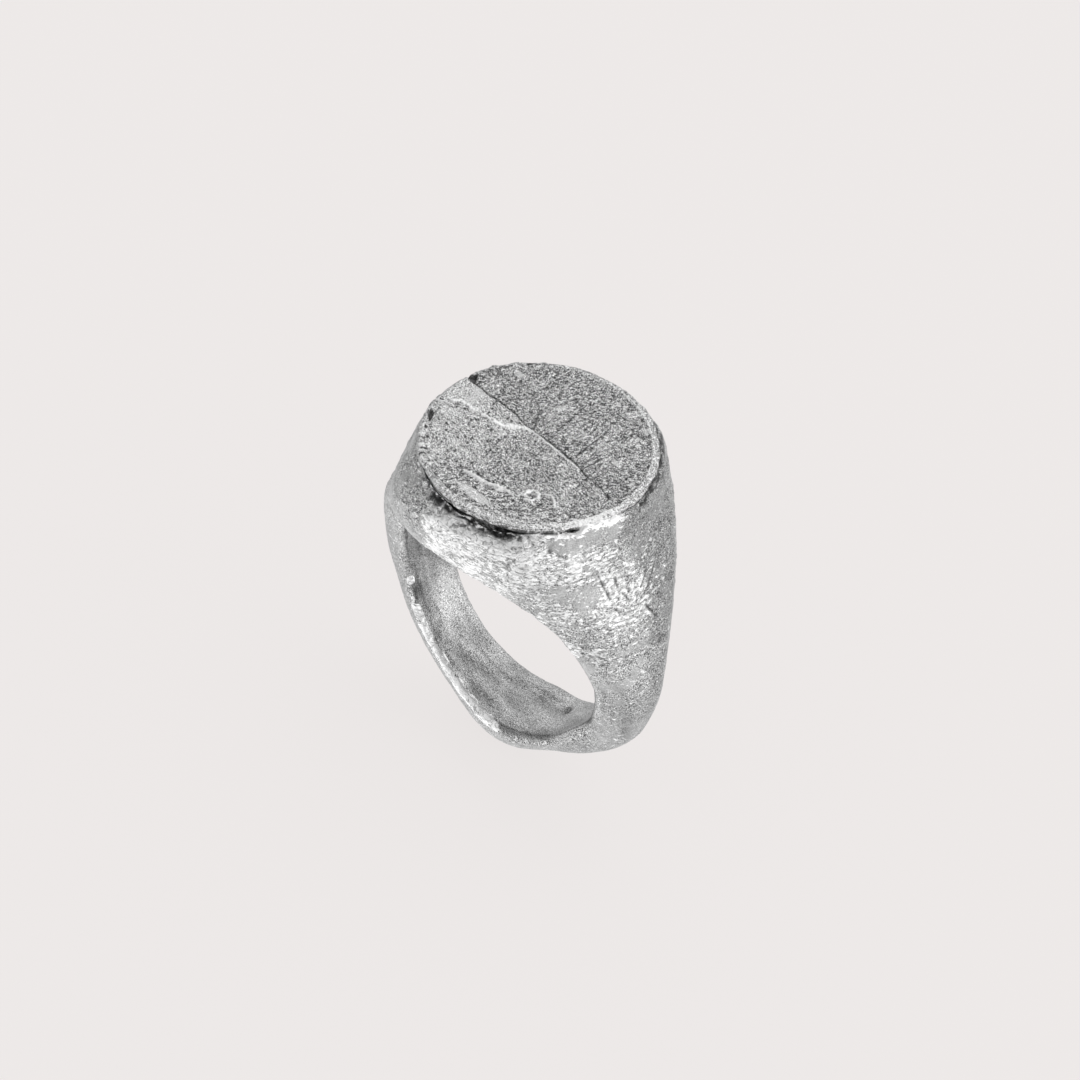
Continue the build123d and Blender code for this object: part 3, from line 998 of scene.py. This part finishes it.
class Nodes:
    """Small helper that adds and links the shader nodes of a material or world."""

    def __init__(self, owner):
        owner.use_nodes = True
        self.tree = owner.node_tree
        self.tree.nodes.clear()

    def feed(self, socket, value):
        """Links a socket to another node's output, or gives it a plain value."""
        if isinstance(value, bpy.types.NodeSocket):
            self.tree.links.new(value, socket)
        else:
            socket.default_value = value

    def add(self, kind, inputs=None, **settings):
        node = self.tree.nodes.new("ShaderNode" + kind)
        for key, value in settings.items():
            setattr(node, key, value)
        for key, value in (inputs or {}).items():
            self.feed(node.inputs[key], value)
        return node

    def math(self, operation, *values, clamp=False):
        node = self.add("Math", dict(enumerate(values)), operation=operation, use_clamp=clamp)
        return node.outputs[0]

    def mix_shaders(self, factor, first, second):
        inputs = {0: factor, 1: first.outputs[0], 2: second.outputs[0]}
        return self.add("MixShader", inputs).outputs[0]

    def field(self, name):
        return self.add("Attribute", attribute_name=name).outputs["Fac"]

    def grain(self, place, size, detail, distortion=0.0):
        """Noise with features of the given size in mm."""
        settings = {"Vector": place, "Scale": 1 / (size * MM), "Detail": detail, "Distortion": distortion}
        return self.add("TexNoise", settings).outputs["Fac"]


def dark_specks(n, speck, grit, white):
    """Specks where the noise is low, fewer on smooth and on white metal."""
    dark = n.math("MULTIPLY", n.math("SUBTRACT", 0.44, speck), SPECK_CONTRAST)
    dark = n.math("MULTIPLY", dark, grit, clamp=True)
    return n.math("MULTIPLY", dark, n.math("MULTIPLY_ADD", white, -0.45, 0.6))


def dark_creases(n, flat, size, strength, grit, white):
    """Thin lines where the noise passes its middle, stronger on white metal."""
    crease = n.math("ABSOLUTE", n.math("SUBTRACT", n.grain(flat, size, 2, 0.8), 0.5))
    crease = n.math("MULTIPLY_ADD", crease, -CREASE_CONTRAST * size, 1.0, clamp=True)
    share = n.math("MULTIPLY_ADD", white, 0.65 * strength, 0.35 * strength)
    return n.math("MULTIPLY", crease, n.math("MULTIPLY", grit, share))


def cast_silver(name, bump, fleck_size, dust_share, crease_size, creasing, stretch=(1, 1, 1)):
    """Rough silver: white where frosted and where highlights are painted, grey where worn, dark in the
    hollows and where shade is painted. Flecks and creases are finer along the axes where stretch is above
    1."""
    material = bpy.data.materials.new(name)
    n = Nodes(material)
    place = n.add("TexCoord").outputs["Object"]
    flat = n.add("Mapping", {"Vector": place, "Scale": stretch}).outputs[0]
    tone, frost, hollow, gloss = (n.field(f) for f in ("tone", "frost", "hollow", "gloss"))
    grit = n.math("SUBTRACT", 1.0, gloss)
    fleck = n.grain(flat, fleck_size, 3, 0.6)
    speck = n.grain(place, SPECK_SIZE, 1)

    # Grey skin with fine light and dark dust.
    dust = n.math("SUBTRACT", n.grain(place, DUST_SIZE, 0), 0.5)
    dust = n.math("MULTIPLY", dust, n.math("MULTIPLY_ADD", grit, dust_share, 1.2))
    skin = n.math("MULTIPLY", tone, n.math("ADD", 1.0, dust), clamp=True)
    # White flecks with crisp edges, that cover more of it where it is frosted and where highlights are
    # painted.
    white = n.math("MULTIPLY", n.math("SUBTRACT", fleck, 0.5), FLECK_CONTRAST)
    white = n.math("ADD", white, n.math("MULTIPLY_ADD", frost, 6.6, -3.2), clamp=True)
    level = n.math("MULTIPLY_ADD", white, n.math("SUBTRACT", WHITE_LEVEL, skin), skin)
    creases = dark_creases(n, flat, crease_size, creasing, grit, white)
    dark = n.math("MAXIMUM", dark_specks(n, speck, grit, white), creases)
    # Hollow darkens the metal: painted shade in pits, crevices and other places.
    dark = n.math("MAXIMUM", dark, hollow)
    level = n.math("MULTIPLY_ADD", dark, n.math("SUBTRACT", BLACK_LEVEL, level), level)
    base = n.add("CombineColor", {"Red": level, "Green": level, "Blue": level}).outputs[0]

    rough = n.math("MULTIPLY_ADD", fleck, 0.2, 0.22)
    rough = n.math("MULTIPLY_ADD", dark, 0.25, rough, clamp=True)
    height = n.math("MULTIPLY_ADD", speck, 0.5, fleck)
    strength = n.math("MULTIPLY", n.math("MULTIPLY_ADD", gloss, -0.85, 1.0), bump, clamp=True)
    shape = n.add("Bump", {"Strength": strength, "Distance": 0.1 * MM, "Height": height})
    surface = n.add(
        "BsdfPrincipled",
        {"Base Color": base, "Metallic": 1.0, "Roughness": rough, "Normal": shape.outputs[0]},
    )
    n.add("OutputMaterial", {"Surface": surface.outputs[0]})
    return material


# ---- build the pieces ----
def install(piece, node, material):
    piece.data.materials.append(material)
    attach(piece, "root")
    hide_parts(node)


body_silver = cast_silver("cast_silver", 0.7, 0.21, 3.4, 0.42, 0.85, stretch=(0.58, 0.58, 1.55))
dark_solder = cast_silver("dark_solder", 1.0, 0.2, 2.0, 0.4, 0.3)
leaf_silver = cast_silver("leaf_silver", 0.7, 0.16, 4.6, 0.2, 0.5)
install(build_ring_body(), "ring_body", body_silver)
install(build_solder_seam(), "solder_seam", dark_solder)
install(build_face_plate(), "face_plate", leaf_silver)

# ---- floor, light and camera ----
BACKDROP = (0.847, 0.815, 0.806, 1)  # the pale warm grey of the backdrop, in linear light
FLOOR_GLOW = 1.016  # the floor shines by itself, so that it looks like the backdrop
FLOOR_SHADING = 0.12  # share of the floor's light that takes shadows
ROOM_LEVEL = 0.55
ROOM_GAIN = 1.3
PANELS = [  # direction, cosine where it starts and where it is full, strength
    ((-0.3, -0.55, -0.78), 0.5, 0.95, 0.42),
    ((0.97, -0.15, 0.1), 0.5, 0.95, 0.5),
    ((0.3, 0.75, -0.55), 0.4, 0.95, 0.25),
    ((-0.47, 0.62, 0.55), 0.55, 0.97, 0.3),
    ((0.63, 0.52, 0.57), 0.6, 0.95, 0.3),
    (NEAR_SIDE, 0.7, 0.98, -0.25),
]
VIEW_ANGLES = (41.87, 45.75, -3.93)  # azimuth, elevation and roll in degrees
VIEW_DISTANCE = 270 * MM
FRAME_WIDTH = 68 * MM  # width of the picture at the ring
VIEW_SHIFT = (0.0105, 0.0544)
visual_bounds = [list(corner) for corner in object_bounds()]
floor_z = visual_bounds[0][2]


def build_floor():
    bm = bmesh.new()
    bmesh.ops.create_grid(bm, x_segments=40, y_segments=40, size=2.0)
    bmesh.ops.translate(bm, vec=(0, 0, floor_z), verts=bm.verts)
    mesh = bpy.data.meshes.new("floor")
    bm.to_mesh(mesh)
    bm.free()
    floor = add_object("floor", mesh)
    floor.visible_glossy = False
    material = bpy.data.materials.new("floor")
    n = Nodes(material)
    glow = n.add("Emission", {"Color": BACKDROP, "Strength": FLOOR_GLOW})
    matte = n.add("BsdfDiffuse", {"Color": BACKDROP})
    n.add("OutputMaterial", {"Surface": n.mix_shaders(FLOOR_SHADING, glow, matte)})
    mesh.materials.append(material)


def build_world():
    """Soft studio light: broad pale panels in a grey room, and the plain backdrop for the camera."""
    world = bpy.data.worlds.new("studio")
    scene.world = world
    n = Nodes(world)
    toward = n.add("TexCoord").outputs["Generated"]
    total = ROOM_LEVEL
    for direction, start, full, strength in PANELS:
        inputs = {0: toward, 1: Vector(direction).normalized()}
        facing = n.add("VectorMath", inputs, operation="DOT_PRODUCT").outputs["Value"]
        inputs = {"Value": facing, "From Min": start, "From Max": full, "To Min": 0.0, "To Max": strength}
        panel = n.add("MapRange", inputs, interpolation_type="SMOOTHSTEP")
        total = n.math("ADD", total, panel.outputs[0])
    total = n.math("MULTIPLY", total, ROOM_GAIN)
    studio = n.add("Background", {"Color": (1, 1, 1, 1), "Strength": total})
    plain = n.add("Background", {"Color": BACKDROP, "Strength": 1.0})
    seen = n.add("LightPath").outputs["Is Camera Ray"]
    n.add("OutputWorld", {"Surface": n.mix_shaders(seen, studio, plain)})


def build_camera():
    azimuth, elevation, roll = (math.radians(angle) for angle in VIEW_ANGLES)
    right = Vector((math.cos(azimuth), math.sin(azimuth), 0))
    level_back = Vector((math.sin(azimuth), -math.cos(azimuth), 0))
    back = level_back * math.cos(elevation) + Vector((0, 0, math.sin(elevation)))
    up = back.cross(right)
    tilted_right = right * math.cos(roll) - up * math.sin(roll)
    tilted_up = right * math.sin(roll) + up * math.cos(roll)
    camera = bpy.data.cameras.new("camera")
    camera.lens = camera.sensor_width * VIEW_DISTANCE / FRAME_WIDTH
    camera.shift_x, camera.shift_y = VIEW_SHIFT
    camera.clip_start, camera.clip_end = 0.01, 10
    obj = add_object("camera", camera)
    turn = Matrix((tilted_right, tilted_up, back)).transposed().to_4x4()
    obj.matrix_world = Matrix.Translation(back * VIEW_DISTANCE) @ turn
    scene.camera = obj


build_floor()
build_world()
build_camera()
scene.view_settings.view_transform = "Standard"
